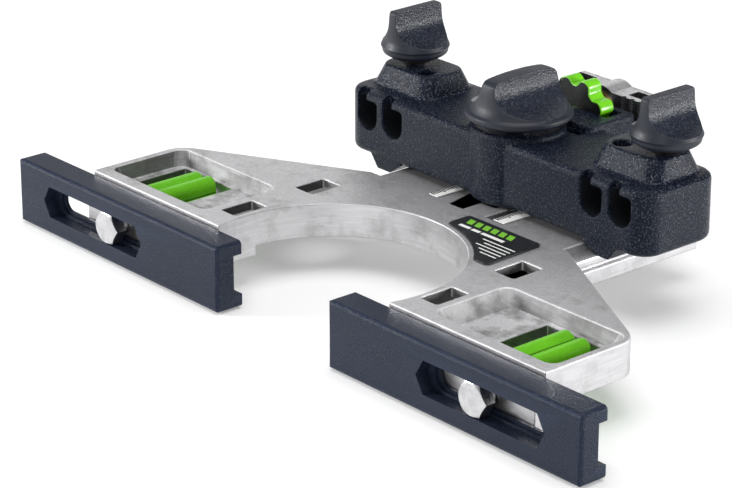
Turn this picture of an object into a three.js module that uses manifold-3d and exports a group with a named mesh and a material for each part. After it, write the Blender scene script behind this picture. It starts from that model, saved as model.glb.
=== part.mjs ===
// Router edge guide with fine adjustment: two sliding fence shoes on a cast bracket,
// and a rear housing that clamps on a pair of guide rods.
// Millimetres. X runs along the fence, Y from the fence face to the rear, Z up.
// The model is drawn with the fence face at y = 0 and the shoes' underside at z = 0,
// and the whole group is then moved so that the origin is under the middle of its box.

import * as THREE from 'three';
import { mergeVertices } from 'three/addons/utils/BufferGeometryUtils.js';
import Module from 'manifold-3d';

const wasm = await Module();
wasm.setup();

// ---------------------------------------------------------------- driving dimensions

const GAP = 0.3;                        // air between pieces that touch on the real object
const TURN = 2 * Math.PI;
const GRIP_SPAN = 20;                   // half the length of the tool that scoops a knob's side

const SHOE = {
  inner: 25.3, outer: 126.5, height: 21, web: 6.5, depth: 9.5, lip: 4.2, edge: 1.3,
};
const SHOE_OFFSET = -1.8;               // both shoes stand this far along X from the middle
const SLOT = {
  inner: 62.5, outer: 113, z: 10.8, headWidth: 10.2, headDepth: 4.4, shankWidth: 6.6,
  ledgeWidth: 8.4, ledgeDepth: 5.5,
};
const BOLT = {
  x: 82.7, z: 10.8, acrossFlats: 9.8, head: 4.0, face: 0.1, shank: 3.0, length: 35.2,
};
const NUT = {
  front: 16.4, length: 23, tip: 9.2, root: 7.3, lobes: 6, phase: 33, bush: 4.8, bore: 3.3,
};
const CASTING = {
  top: 22.3, bottom: 11.6, side: 101.2, cornerY: 38.5, shoulderX: 95.4, shoulderY: 46.5,
  waistX: 43.5, rear: 74.2, skin: 3, wall: 3,
};
const FLANGE = { front: 6.8, back: 13.2, inner: 37.8, outer: 100.6, shoeGap: 0.5 };
const LUG = { inner: 38.5, outer: 44, rear: 25, bottom: 8.4 };
const THROAT = { radius: 39.9, y: 20.9 };
const POCKET = {
  inner: 51.2, outer: 99, front: 14.4, rear: 43.2, floor: 17.3, draft: 1.8, innerDraft: 4.2,
  corner: 5,
};
const NUT_WINDOW = { inner: 70.4, outer: 94.6, front: 14.6, rear: 40.4 };
const TONGUE = {
  top: 21.6, topHalf: 40.6, half: 44.2, bevelFoot: 17.6, grooveTop: 15.6, railTop: 13.8,
  bottom: 9, rail: 4.5, grooveDepth: 1.6, rear: 128.5, ceiling: 17.2, tailHalf: 19.5,
  tailRear: 140.5, ribLeft: -1.5, ribRight: 8,
};
const SLIDE_SLOT = { half: 4.6, front: 82, rear: 102.8 };
const SCALE = { front: 75.4, rear: 92, left: [-17.9, -14.2], right: [10.8, 15.4] };
const HOUSING = {
  half: 66, front: 82.6, rear: 114.4, corner: 7.5, bottom: 23.1, top: 43.6, edge: 2,
};
const FOOT = { innerTop: 40.2, inner: 45.2, outer: 51, outerTop: 54.6, bottom: 19.3, front: 83.1 };
const ROD = { spacings: [43.7, 55.5], z: 35.45, width: 8.9, ceiling: 40.6, notchDepth: 3.6 };
const BOSS = {
  inner: 34.8, outer: 63.2, front: 88.5, rear: 112, topInner: 37.2, topOuter: 60.8,
  topFront: 92.2, topRear: 108.6, top: 50.3, corner: 5.4,
};
const WING = { x: 54.7, y: 102.1, bottom: 52, rim: 55.6, top: 67.7, radius: 10.9, grip: 1.6 };
const SPARE = { x: 42.9, y: 96.3, bore: 3 };
const STUD = { radius: 3, tip: 41.2, buried: 59 };
const LOCK = {
  y: 95.4, pad: 14.8, padTop: 45.4, bottom: 47.6, rim: 50.2, radius: 16.5, top: 61.6, grip: 2.7,
  stud: 4, studTop: 52.5, nut: 6.2, nutTop: 52, plate: 12,
};
const DECK = { half: 18, front: 107.6, rear: 128, top: 45.5 };
const PIT = { inner: 11, outer: 16.5, front: 104.4, depth: 3.4 };
const WHEEL = {
  z: 42.4, front: 118.9, rear: 124.6, tip: 12.2, root: 9.7, lobes: 8, phase: 21, slotHalf: 14.3,
};
const SPINDLE = { radius: 3, front: 108.5, rear: 143 };
const BRACKET = {
  half: 19, front: 130.6, rear: 139.6, top: 50, foot: TONGUE.top + GAP, boss: 7, screwX: 12,
};
const DEPTH = SPINDLE.rear;             // whole depth, from the fence face to the spindle's end

// ---------------------------------------------------------------- materials

const plastic = new THREE.MeshStandardMaterial({ color: 0x2f3641, roughness: 0.62, metalness: 0 });
const satin = new THREE.MeshStandardMaterial({ color: 0x343a44, roughness: 0.48, metalness: 0 });
const green = new THREE.MeshStandardMaterial({ color: 0x59c81e, roughness: 0.4, metalness: 0 });
const cast = new THREE.MeshStandardMaterial({ color: 0xb4b5b7, roughness: 0.42, metalness: 0.9 });
const zinc = new THREE.MeshStandardMaterial({ color: 0xb9bbbc, roughness: 0.34, metalness: 1 });
const brass = new THREE.MeshStandardMaterial({ color: 0xb08d46, roughness: 0.36, metalness: 1 });
const black = new THREE.MeshStandardMaterial({ color: 0x17191b, roughness: 0.35, metalness: 0 });
const white = new THREE.MeshStandardMaterial({ color: 0xe6e7e3, roughness: 0.55, metalness: 0 });

// ---------------------------------------------------------------- solids

// A closed geometry as a solid that can be cut and joined.
function solid(geometry) {
  const bare = geometry.clone();
  bare.deleteAttribute('normal');
  bare.deleteAttribute('uv');
  const merged = mergeVertices(bare, 1e-5);
  return new wasm.Manifold(new wasm.Mesh({
    numProp: 3,
    vertProperties: new Float32Array(merged.attributes.position.array),
    triVerts: new Uint32Array(merged.index.array),
  }));
}

function geometryOf(body) {
  const mesh = body.getMesh();
  const geometry = new THREE.BufferGeometry();
  geometry.setAttribute('position', new THREE.BufferAttribute(new Float32Array(mesh.vertProperties), 3));
  geometry.setIndex(new THREE.BufferAttribute(new Uint32Array(mesh.triVerts), 1));
  geometry.computeVertexNormals();
  return geometry;
}

function joined(bodies) {
  return bodies.reduce((sum, body) => sum.add(body));
}

function cut(body, tools) {
  return tools.reduce((rest, tool) => rest.subtract(tool), body);
}

function block(x0, x1, y0, y1, z0, z1) {
  const geometry = new THREE.BoxGeometry(x1 - x0, y1 - y0, z1 - z0);
  geometry.translate((x0 + x1) / 2, (y0 + y1) / 2, (z0 + z1) / 2);
  return solid(geometry);
}

// Extrudes an outline in X and Y from z0 up to z1.
function prismZ(shape, z0, z1, segments = 8) {
  const geometry = new THREE.ExtrudeGeometry(shape, {
    depth: z1 - z0, bevelEnabled: false, curveSegments: segments,
  });
  geometry.translate(0, 0, z0);
  return solid(geometry);
}

// Extrudes an outline in X and Y from z0 to z1 with its top and bottom edges rounded.
function slabZ(shape, z0, z1, edge, segments = 8) {
  const geometry = new THREE.ExtrudeGeometry(shape, {
    depth: z1 - z0 - 2 * edge, bevelEnabled: true, bevelThickness: edge,
    bevelSize: edge, bevelOffset: -edge, bevelSegments: 3, curveSegments: segments,
  });
  geometry.translate(0, 0, z0 + edge);
  return solid(geometry);
}

// Extrudes an outline in X and Z from y0 back to y1.
function prismY(shape, y0, y1, segments = 8) {
  const geometry = new THREE.ExtrudeGeometry(shape, {
    depth: y1 - y0, bevelEnabled: false, curveSegments: segments,
  });
  geometry.rotateX(Math.PI / 2);
  geometry.translate(0, y1, 0);
  return solid(geometry);
}

// Extrudes an outline in Y and Z from x0 to x1.
function prismX(shape, x0, x1, segments = 8) {
  const geometry = new THREE.ExtrudeGeometry(shape, {
    depth: x1 - x0, bevelEnabled: false, curveSegments: segments,
  });
  geometry.rotateZ(Math.PI / 2);
  geometry.rotateY(Math.PI / 2);
  geometry.translate(x0, 0, 0);
  return solid(geometry);
}

// Turns a profile of [radius, height] pairs about the Z axis at (x, y).
function turnedZ(profile, x, y, segments = 32) {
  const points = profile.map(([r, z]) => new THREE.Vector2(r, z));
  const geometry = new THREE.LatheGeometry(points, segments);
  geometry.rotateX(Math.PI / 2);
  geometry.translate(x, y, 0);
  return solid(geometry);
}

function rodZ(radius, z0, z1, x, y, segments = 32) {
  return turnedZ([[0, z0], [radius, z0], [radius, z1], [0, z1]], x, y, segments);
}

// Turns a profile of [radius, distance] pairs about a line along Y through (x, z).
function turnedY(profile, x, z, segments = 32) {
  const points = profile.map(([r, y]) => new THREE.Vector2(r, y));
  const geometry = new THREE.LatheGeometry(points, segments);
  geometry.translate(x, 0, z);
  return solid(geometry);
}

function rodY(radius, y0, y1, x, z, segments = 32) {
  return turnedY([[0, y0], [radius, y0], [radius, y1], [0, y1]], x, z, segments);
}

// Joins two outlines with the same number of points, one above the other, into a solid.
function loft(lower, upper, z0, z1) {
  const count = lower.length;
  const vertices = [
    ...lower.flatMap((p) => [p.x, p.y, z0]),
    ...upper.flatMap((p) => [p.x, p.y, z1]),
  ];
  const faces = [];
  for (let i = 0; i < count; i += 1) {
    const j = (i + 1) % count;
    faces.push(i, j, count + j, i, count + j, count + i);
  }
  for (const [a, b, c] of THREE.ShapeUtils.triangulateShape(lower, [])) {
    faces.push(a, c, b);
  }
  for (const [a, b, c] of THREE.ShapeUtils.triangulateShape(upper, [])) {
    faces.push(count + a, count + b, count + c);
  }
  const geometry = new THREE.BufferGeometry();
  geometry.setAttribute('position', new THREE.Float32BufferAttribute(vertices, 3));
  geometry.setIndex(faces);
  return solid(geometry);
}

// ---------------------------------------------------------------- outlines

function roundedRect(x0, x1, y0, y1, radius) {
  const shape = new THREE.Shape();
  shape.moveTo(x0 + radius, y0);
  shape.lineTo(x1 - radius, y0);
  shape.absarc(x1 - radius, y0 + radius, radius, -Math.PI / 2, 0, false);
  shape.lineTo(x1, y1 - radius);
  shape.absarc(x1 - radius, y1 - radius, radius, 0, Math.PI / 2, false);
  shape.lineTo(x0 + radius, y1);
  shape.absarc(x0 + radius, y1 - radius, radius, Math.PI / 2, Math.PI, false);
  shape.lineTo(x0, y0 + radius);
  shape.absarc(x0 + radius, y0 + radius, radius, Math.PI, 1.5 * Math.PI, false);
  return shape;
}

function polygon(points) {
  return new THREE.Shape(points.map(([x, y]) => new THREE.Vector2(x, y)));
}

// A tapered block with rounded corners: a rectangle at z0 that becomes another at z1.
function taperedBlock(lower, upper, z0, z1, radius, segments = 4) {
  const outline = ([x0, x1, y0, y1]) => {
    return roundedRect(x0, x1, y0, y1, radius).extractPoints(segments).shape.slice(0, -1);
  };
  return loft(outline(lower), outline(upper), z0, z1);
}

// A slot along X with ends pointed like a hexagon's corners, or round ends.
function hexSlot(x0, x1, z, width) {
  const point = width / 2 / Math.sqrt(3);
  const h = width / 2;
  return polygon([
    [x0, z], [x0 + point, z - h], [x1 - point, z - h], [x1, z], [x1 - point, z + h], [x0 + point, z + h],
  ]);
}

function roundSlot(x0, x1, z, width) {
  return roundedRect(x0, x1, z - width / 2, z + width / 2, width / 2 - 0.001);
}

// A wheel outline whose radius swings smoothly between root and tip. One tip stands at
// wheel.phase degrees from the top.
function lobedOutline(wheel, flatness, x, z, stepsPerLobe) {
  const points = [];
  const steps = wheel.lobes * stepsPerLobe;
  const phase = THREE.MathUtils.degToRad(wheel.phase);
  for (let i = 0; i < steps; i += 1) {
    const angle = (TURN * i) / steps;
    const wave = Math.tanh(flatness * Math.cos(wheel.lobes * angle)) / Math.tanh(flatness);
    const swell = (1 + wave) / 2;
    const radius = wheel.root + (wheel.tip - wheel.root) * swell;
    points.push([x + radius * Math.sin(angle + phase), z + radius * Math.cos(angle + phase)]);
  }
  return polygon(points.reverse());
}

// The same solid seen in a mirror that stands across the X axis.
function mirrored(body) {
  return body.mirror([1, 0, 0]);
}

function onSide(body, side) {
  return side < 0 ? mirrored(body) : body;
}

const SIDES = [['left', -1], ['right', 1]];

// ---------------------------------------------------------------- fence shoes

// A plastic C section that slides on the casting's flange; the right-hand one.
function fenceShoe() {
  const s = SHOE;
  const outline = prismX(roundedRect(0, s.depth + s.edge, 0, s.height, s.edge), s.inner, s.outer, 4);
  const plan = prismZ(roundedRect(s.inner, s.outer, 0, s.depth + s.edge, s.edge), 0, s.height, 4);
  const face = prismY(roundedRect(s.inner, s.outer, 0, s.height, s.edge), 0, s.depth, 4);
  const channel = block(s.inner - 1, s.outer + 1, s.web, s.depth + 1, s.lip, s.height - s.lip);
  const head = prismY(
    hexSlot(SLOT.inner, SLOT.outer, SLOT.z, SLOT.headWidth), -1, SLOT.headDepth,
  );
  const ledge = prismY(
    roundSlot(SLOT.inner + 3, SLOT.outer - 3, SLOT.z, SLOT.ledgeWidth), 0, SLOT.ledgeDepth,
  );
  const shank = prismY(
    roundSlot(SLOT.inner + 4, SLOT.outer - 4, SLOT.z, SLOT.shankWidth), 0, SHOE.web + 1,
  );
  return cut(outline.intersect(plan).intersect(face), [channel, head, ledge, shank]);
}

function shoeBolt() {
  const corner = BOLT.acrossFlats / Math.sqrt(3);
  const headBack = BOLT.face + BOLT.head;
  const chamfer = 0.5;
  const blank = turnedY([
    [0, BOLT.face], [corner - 0.9, BOLT.face], [corner, BOLT.face + chamfer], [corner, headBack], [0, headBack],
  ], BOLT.x, BOLT.z, 24);
  const hexagon = [0, 1, 2, 3, 4, 5].map((i) => {
    const angle = (TURN * i) / 6;
    return [BOLT.x + corner * Math.cos(angle), BOLT.z + corner * Math.sin(angle)];
  });
  const head = blank.intersect(prismY(polygon(hexagon), BOLT.face - 1, headBack + 1));
  const end = headBack + BOLT.length;
  const shank = turnedY([
    [0, headBack - 1], [BOLT.shank, headBack - 1], [BOLT.shank, end - 0.8], [BOLT.shank - 0.8, end], [0, end],
  ], BOLT.x, BOLT.z, 24);
  return head.add(shank);
}

function shoeNut() {
  const outline = lobedOutline(NUT, 0.5, BOLT.x, BOLT.z, 10);
  const bore = rodY(NUT.bush + GAP, 0, 60, BOLT.x, BOLT.z);
  return prismY(outline, NUT.front, NUT.front + NUT.length).subtract(bore);
}

function nutBush() {
  return turnedY([
    [NUT.bore, NUT.front], [NUT.bush, NUT.front], [NUT.bush, NUT.front + NUT.length],
    [NUT.bore, NUT.front + NUT.length], [NUT.bore, NUT.front],
  ], BOLT.x, BOLT.z, 24);
}

function nutWasher() {
  const front = NUT_WINDOW.front + GAP;
  const back = NUT.front - GAP;
  return turnedY([
    [NUT.bore, front], [7, front], [7, back], [NUT.bore, back], [NUT.bore, front],
  ], BOLT.x, BOLT.z, 24);
}

// ---------------------------------------------------------------- casting

// Half of the plate's outline in plan, for x > 0, from the throat out to the side and back.
function plateHalf(inset) {
  const front = SHOE.depth + GAP + inset;
  const side = CASTING.side - inset;
  const rear = CASTING.rear - inset;
  const slope = (CASTING.rear - CASTING.shoulderY) / (CASTING.shoulderX - CASTING.waistX);
  const shift = inset * Math.sqrt(1 + slope * slope);
  const waist = CASTING.waistX - (shift - inset) / slope;
  const shape = new THREE.Shape();
  shape.moveTo(0, front);
  shape.lineTo(side, front);
  shape.lineTo(side, CASTING.cornerY);
  shape.quadraticCurveTo(side, CASTING.shoulderY - shift - 3, CASTING.shoulderX, CASTING.shoulderY - shift);
  shape.lineTo(waist, rear);
  shape.lineTo(0, rear);
  return shape;
}

function throatCylinder(radius, z0, z1) {
  return rodZ(radius, z0, z1, 0, THROAT.y, 72);
}

function fingerPocket() {
  const lower = [
    POCKET.inner + POCKET.innerDraft, POCKET.outer - POCKET.draft,
    POCKET.front + 0.4, POCKET.rear - POCKET.draft,
  ];
  const upper = [POCKET.inner, POCKET.outer, POCKET.front, POCKET.rear];
  const depth = CASTING.top - POCKET.floor;
  const over = 1;
  const grow = (a, b) => b + ((b - a) * over) / depth;
  const above = upper.map((value, i) => grow(lower[i], value));
  return taperedBlock(lower, above, POCKET.floor, CASTING.top + over, POCKET.corner - 1.5, 5);
}

function skinWindow(x0, x1, y0, y1) {
  const draft = 1.1;
  return taperedBlock(
    [x0 + draft, x1 - draft, y0 + draft, y1 - draft], [x0 - 0.2, x1 + 0.2, y0 - 0.2, y1 + 0.2],
    CASTING.bottom - 1, CASTING.top + 0.5, 0.9, 3,
  );
}

// The hollow under one wing of the plate: everything inside the walls and below the skin.
function wingHollow() {
  const ceiling = CASTING.top - CASTING.skin;
  const inside = prismZ(plateHalf(CASTING.wall), CASTING.bottom - 1, ceiling);
  const keep = [
    throatCylinder(THROAT.radius + CASTING.wall, 0, 40),
    block(-1, 9, 0, 80, 0, 40),
    block(TONGUE.topHalf - 2, TONGUE.topHalf, 0, 80, 0, 40),
    prismZ(roundedRect(POCKET.inner + 1, POCKET.outer + 5, 9, POCKET.rear + 0.6, 3), 0, 40),
  ];
  return cut(inside, keep);
}

function casting() {
  const f = FLANGE;
  const low = SHOE.lip + f.shoeGap;
  const high = SHOE.height - SHOE.lip - f.shoeGap;
  const half = joined([
    prismZ(plateHalf(0), CASTING.bottom, CASTING.top),
    block(f.inner, f.outer, f.front, f.back, low, high),
    block(f.inner, f.outer, SHOE.depth + GAP, f.back, low, CASTING.top),
    block(LUG.inner, LUG.outer, f.back - 1, LUG.rear, LUG.bottom, CASTING.bottom + 1),
  ]);
  const bolt = rodY(BOLT.shank + GAP, 0, 50, BOLT.x, BOLT.z, 24);
  const window = block(NUT_WINDOW.inner, NUT_WINDOW.outer, NUT_WINDOW.front, NUT_WINDOW.rear, 0, 40);
  const cleared = cut(half, [
    fingerPocket(), bolt, window, wingHollow(),
    skinWindow(41.6, 48.4, 18.8, 30.6),
    skinWindow(40.6, 48.6, 47.8, 59),
  ]);
  const plate = cleared.add(mirrored(cleared)).subtract(throatCylinder(THROAT.radius, 0, 40));
  return cut(plate.add(tongue()), tongueOpenings());
}

// The rear tongue that the housing slides on: bevelled top edges, side grooves, lower rails.
function tongue() {
  const t = TONGUE;
  const right = [
    [t.half - t.rail, t.bottom], [t.half, t.bottom], [t.half, t.railTop],
    [t.half - t.grooveDepth, t.railTop], [t.half - t.grooveDepth, t.grooveTop],
    [t.half, t.grooveTop], [t.half, t.bevelFoot], [t.topHalf, t.top],
  ];
  const left = right.map(([x, z]) => [-x, z]).reverse();
  const inside = [[-(t.half - t.rail), t.ceiling], [t.half - t.rail, t.ceiling]];
  const section = polygon([...right, ...left, ...inside]);
  return joined([
    prismY(section, CASTING.rear - CASTING.wall, t.rear),
    block(-t.tailHalf, t.tailHalf, t.rear - 1, t.tailRear, t.ceiling, t.top),
    block(t.ribLeft, t.ribRight, CASTING.rear - 1, HOUSING.front + 2, t.ceiling, CASTING.top),
  ]);
}

// Windows beside the rib, the slot for the lock bolt, an opening under the wheel, screw holes.
function tongueOpenings() {
  const t = TONGUE;
  const s = SLIDE_SLOT;
  const screwY = (BRACKET.front + BRACKET.rear) / 2;
  return [
    block(-8.2, t.ribLeft, 74.6, SCALE.rear, 0, 40),
    block(t.ribRight, SCALE.right[0], 75.8, SCALE.rear, 0, 40),
    block(-s.half, s.half, s.front, s.rear, 0, 40),
    block(-15.5, 15.5, 106, 127, 0, 40),
    rodZ(2, 0, 40, -BRACKET.screwX, screwY, 20),
    rodZ(2, 0, 40, BRACKET.screwX, screwY, 20),
  ];
}

function labelPlate() {
  const shape = new THREE.Shape();
  const rim = THROAT.radius + 1.6;
  const start = Math.atan2(48.6 - THROAT.y, 30.9);
  const end = Math.atan2(62.4 - THROAT.y, 5.6);
  shape.moveTo(35.4, 48.4);
  shape.quadraticCurveTo(36.9, 48.6, 36.8, 50);
  shape.lineTo(36.2, 69.4);
  shape.quadraticCurveTo(36, 71, 34.6, 71);
  shape.lineTo(6.4, 71);
  shape.quadraticCurveTo(5, 71, 5, 69.8);
  shape.lineTo(5, 64);
  shape.absarc(0, THROAT.y, rim, end, start, true);
  return prismZ(shape, CASTING.top + GAP, CASTING.top + GAP + 0.3, 16);
}

function scaleStrip([x0, x1]) {
  const base = TONGUE.top + GAP;
  return block(x0, x1, SCALE.front, SCALE.rear, base, base + 0.3);
}

function rearBracket() {
  const b = BRACKET;
  const outline = roundedRect(-b.half, b.half, b.foot, b.top - 2, 3);
  const body = prismY(outline, b.front, b.rear)
    .add(rodY(b.boss, b.front, b.rear, 0, WHEEL.z));
  const nut = rodY(5.2 + GAP, b.front - 1, b.rear + 1, 0, WHEEL.z);
  const pockets = SIDES.map(([, side]) => onSide(
    block(b.boss + 2, b.half - 2.5, b.front + 2.4, b.rear - 2, 34, 60), side,
  ));
  const flutes = [-16.5, -13, -9.5, 9.5, 13, 16.5].map(
    (x) => rodZ(0.9, b.foot + 4, 60, x, b.front, 12),
  );
  const holes = [-b.screwX, b.screwX].map((x) => rodZ(2, 0, 30, x, (b.front + b.rear) / 2, 20));
  return cut(body, [nut, ...pockets, ...flutes, ...holes]);
}

function bracketScrew() {
  const y = (BRACKET.front + BRACKET.rear) / 2;
  const headTop = TONGUE.ceiling - GAP;
  return turnedZ([
    [0, headTop - 3], [3.4, headTop - 3], [3.4, headTop], [1.7, headTop], [1.7, 29.5], [0, 29.5],
  ], BRACKET.screwX, y, 20);
}

function spindleNut() {
  const bore = SPINDLE.radius + GAP;
  return turnedY([
    [bore, BRACKET.front + 0.4], [5.2, BRACKET.front + 0.4], [5.2, BRACKET.rear - 0.4],
    [bore, BRACKET.rear - 0.4], [bore, BRACKET.front + 0.4],
  ], 0, WHEEL.z, 24);
}

// ---------------------------------------------------------------- housing

function rodSlot(x) {
  const r = ROD.width / 2;
  const shape = new THREE.Shape();
  shape.moveTo(x - r, ROD.ceiling);
  shape.lineTo(x - r, ROD.z);
  shape.absarc(x, ROD.z, r, Math.PI, TURN, false);
  shape.lineTo(x + r, ROD.ceiling - 1.2);
  shape.quadraticCurveTo(x + r, ROD.ceiling, x + r - 1.4, ROD.ceiling);
  const tunnel = prismY(shape, HOUSING.front - 3, HOUSING.rear + 3, 10);
  const notch = block(
    x - r, x - 0.4, HOUSING.front - 3, HOUSING.front + ROD.notchDepth, ROD.ceiling - 2, 60,
  );
  return tunnel.add(notch);
}

function clampBoss() {
  return taperedBlock(
    [BOSS.inner, BOSS.outer, BOSS.front, BOSS.rear],
    [BOSS.topInner, BOSS.topOuter, BOSS.topFront, BOSS.topRear],
    HOUSING.top - 1.5, BOSS.top, BOSS.corner,
  );
}

function housingFoot() {
  const section = polygon([
    [FOOT.innerTop, HOUSING.bottom + 2], [FOOT.innerTop, HOUSING.bottom - 0.2],
    [FOOT.inner, FOOT.bottom], [FOOT.outer, FOOT.bottom],
    [FOOT.outerTop, HOUSING.bottom + 1], [FOOT.outerTop, HOUSING.bottom + 2],
  ]);
  return prismY(section, FOOT.front, HOUSING.rear - 2);
}

function housing() {
  const h = HOUSING;
  const plan = roundedRect(-h.half, h.half, h.front, h.rear, h.corner);
  const deck = roundedRect(-DECK.half, DECK.half, DECK.front, DECK.rear, 2.5);
  const insert = 4.4 + 0.1;
  const parts = [
    slabZ(plan, h.bottom, h.top, h.edge, 6),
    slabZ(deck, h.bottom, DECK.top, 0.8, 4),
    turnedZ([
      [0, h.bottom], [LOCK.pad, h.bottom], [LOCK.pad, LOCK.padTop - 0.8],
      [LOCK.pad - 0.8, LOCK.padTop], [0, LOCK.padTop],
    ], 0, LOCK.y, 48),
  ];
  const tools = [
    rodZ(LOCK.stud + GAP, 0, 60, 0, LOCK.y, 24),
    block(-WHEEL.slotHalf, WHEEL.slotHalf, WHEEL.front - 0.7, WHEEL.rear + 0.7, WHEEL.z - 15, 60),
    rodY(SPINDLE.radius + GAP, SPINDLE.front - 0.5, 140, 0, WHEEL.z, 24),
  ];
  SIDES.forEach(([, side]) => {
    parts.push(onSide(clampBoss(), side), onSide(housingFoot(), side));
    tools.push(rodZ(insert, 43, 60, side * WING.x, WING.y, 24));
    tools.push(rodZ(STUD.radius + GAP, ROD.z, 50, side * WING.x, WING.y, 24));
    tools.push(rodZ(SPARE.bore, ROD.z, 60, side * SPARE.x, SPARE.y, 24));
    tools.push(onSide(block(19.5, 37, 86.5, 110.5, 0, 39.6), side));
    tools.push(onSide(block(PIT.inner, PIT.outer, PIT.front, DECK.front, h.top - PIT.depth, 60), side));
    ROD.spacings.forEach((x) => tools.push(rodSlot(side * x)));
  });
  return cut(joined(parts), tools);
}

function threadInsert() {
  const bore = STUD.radius + GAP;
  return turnedZ([
    [bore, 43.3], [4.4, 43.3], [4.4, 50], [bore, 50], [bore, 43.3],
  ], WING.x, WING.y, 24);
}

// ---------------------------------------------------------------- knobs

// A finger grip: a turned blank with a scoop taken out of each side, which leaves a blade.
function gripKnob(blank, scoop, x, y) {
  const right = prismY(polygon(scoop), -GRIP_SPAN, GRIP_SPAN);
  return cut(turnedZ(blank, 0, 0, 48), [right, mirrored(right)]).translate([x, y, 0]);
}

function wingKnob(side) {
  const w = WING;
  const blank = [
    [0, w.bottom], [8.5, w.bottom], [w.radius - 0.7, w.bottom + 1.2], [w.radius - 0.4, w.rim - 0.7],
    [w.radius, w.rim], [w.radius - 0.9, w.rim + 2.4], [w.radius - 1.1, w.top - 0.9],
    [w.radius - 2, w.top], [0, w.top],
  ];
  const scoop = [
    [w.grip, w.top + 2], [w.grip, w.top - 2.5], [w.grip + 0.3, w.top - 5.2], [w.grip + 1.6, w.top - 7.6],
    [w.grip + 4, w.top - 9.6], [w.radius + 0.2, w.rim + 0.8], [w.radius + 6, w.rim + 0.8],
    [w.radius + 6, w.top + 2],
  ];
  const stud = rodZ(STUD.radius + GAP, 0, STUD.buried + GAP, side * w.x, w.y, 24);
  return gripKnob(blank, scoop, side * w.x, w.y).subtract(stud);
}

function clampStud(side) {
  const r = STUD.radius;
  return turnedZ([
    [0, STUD.tip], [r - 1.2, STUD.tip], [r, STUD.tip + 1.4], [r, STUD.buried], [0, STUD.buried],
  ], side * WING.x, WING.y, 24);
}

function lockKnob() {
  const k = LOCK;
  const blank = [
    [0, k.bottom], [k.radius - 0.6, k.bottom], [k.radius, k.bottom + 0.6], [k.radius, k.rim - 0.5],
    [k.radius - 0.5, k.rim], [k.radius - 2, k.rim + 2.4], [k.radius - 3.2, k.top - 3.8],
    [k.radius - 4.6, k.top - 1.9], [k.radius - 7, k.top - 0.9], [4.5, k.top - 0.2], [0, k.top],
  ];
  const scoop = [
    [k.grip, k.top + 2], [k.grip, k.top - 2.5], [k.grip + 0.6, k.top - 5], [k.grip + 2.4, k.top - 7.4],
    [k.grip + 5.6, k.top - 9.2], [k.radius, k.rim + 0.1], [k.radius + 6, k.rim + 0.1],
    [k.radius + 6, k.top + 2],
  ];
  const nut = rodZ(k.nut + GAP, 0, k.nutTop + GAP, 0, k.y, 24);
  const stud = rodZ(k.stud + GAP, 0, k.studTop + 2, 0, k.y, 24);
  return cut(gripKnob(blank, scoop, 0, k.y), [nut, stud]);
}

function lockKnobNut() {
  const k = LOCK;
  const bore = k.stud + GAP;
  return turnedZ([
    [bore, k.bottom], [k.nut, k.bottom], [k.nut, k.nutTop], [bore, k.nutTop], [bore, k.bottom],
  ], 0, k.y, 24);
}

function lockWasher() {
  const bore = LOCK.stud + GAP;
  const low = LOCK.padTop + GAP;
  const high = LOCK.bottom - GAP;
  return turnedZ([[bore, low], [9, low], [9, high], [bore, high], [bore, low]], 0, LOCK.y, 32);
}

function lockBolt() {
  const headTop = 13.2;
  const neck = block(-4.2, 4.2, LOCK.y - 4.2, LOCK.y + 4.2, headTop - 3.5, 19.5);
  return rodZ(LOCK.stud, headTop - 1, LOCK.studTop, 0, LOCK.y, 24).add(neck);
}

function clampPlate() {
  const top = TONGUE.ceiling - GAP;
  const p = LOCK.plate;
  const plate = prismZ(roundedRect(-p, p, LOCK.y - p, LOCK.y + p, 2), top - 3, top, 4);
  const hole = 4.2 + GAP;
  return plate.subtract(block(-hole, hole, LOCK.y - hole, LOCK.y + hole, 0, 40));
}

// ---------------------------------------------------------------- fine adjuster

function thumbwheel() {
  const outline = lobedOutline(WHEEL, 1.6, 0, WHEEL.z, 10);
  const bore = rodY(SPINDLE.radius + GAP, 100, 140, 0, WHEEL.z, 24);
  return prismY(outline, WHEEL.front, WHEEL.rear).subtract(bore);
}

function spindle() {
  const s = SPINDLE;
  return turnedY([
    [0, s.front], [s.radius - 0.6, s.front], [s.radius, s.front + 0.6], [s.radius, s.rear - 0.8],
    [s.radius - 0.8, s.rear], [0, s.rear],
  ], 0, WHEEL.z, 24);
}

// ---------------------------------------------------------------- assembly

const model = new THREE.Group();
model.position.set(-SHOE_OFFSET, -DEPTH / 2, 0);

function place(name, body, material) {
  const mesh = new THREE.Mesh(geometryOf(body), material);
  mesh.name = name;
  model.add(mesh);
}

place('housing', housing(), plastic);
place('lock_washer', lockWasher(), zinc);
place('lock_knob', lockKnob(), satin);
place('lock_knob_nut', lockKnobNut(), brass);
place('lock_bolt', lockBolt(), zinc);
place('clamp_plate', clampPlate(), zinc);
place('thumbwheel', thumbwheel(), green);
place('spindle', spindle(), zinc);
place('casting', casting(), cast);
place('rear_bracket', rearBracket(), cast);
place('spindle_nut', spindleNut(), brass);
place('label_plate', labelPlate(), black);
place('scale_left', scaleStrip(SCALE.left), white);
place('scale_right', scaleStrip(SCALE.right), white);

SIDES.forEach(([name, side]) => {
  place(`wing_knob_${name}`, wingKnob(side), satin);
  place(`clamp_stud_${name}`, clampStud(side), zinc);
  place(`shoe_${name}`, onSide(fenceShoe(), side).translate([SHOE_OFFSET, 0, 0]), plastic);
  place(`shoe_bolt_${name}`, onSide(shoeBolt(), side), zinc);
  place(`shoe_nut_${name}`, onSide(shoeNut(), side), green);
  place(`nut_bush_${name}`, onSide(nutBush(), side), zinc);
  place(`nut_washer_${name}`, onSide(nutWasher(), side), zinc);
  place(`thread_insert_${name}`, onSide(threadInsert(), side), brass);
  place(`bracket_screw_${name}`, onSide(bracketScrew(), side), zinc);
});

const root = new THREE.Group();
root.add(model);

export default root;
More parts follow.
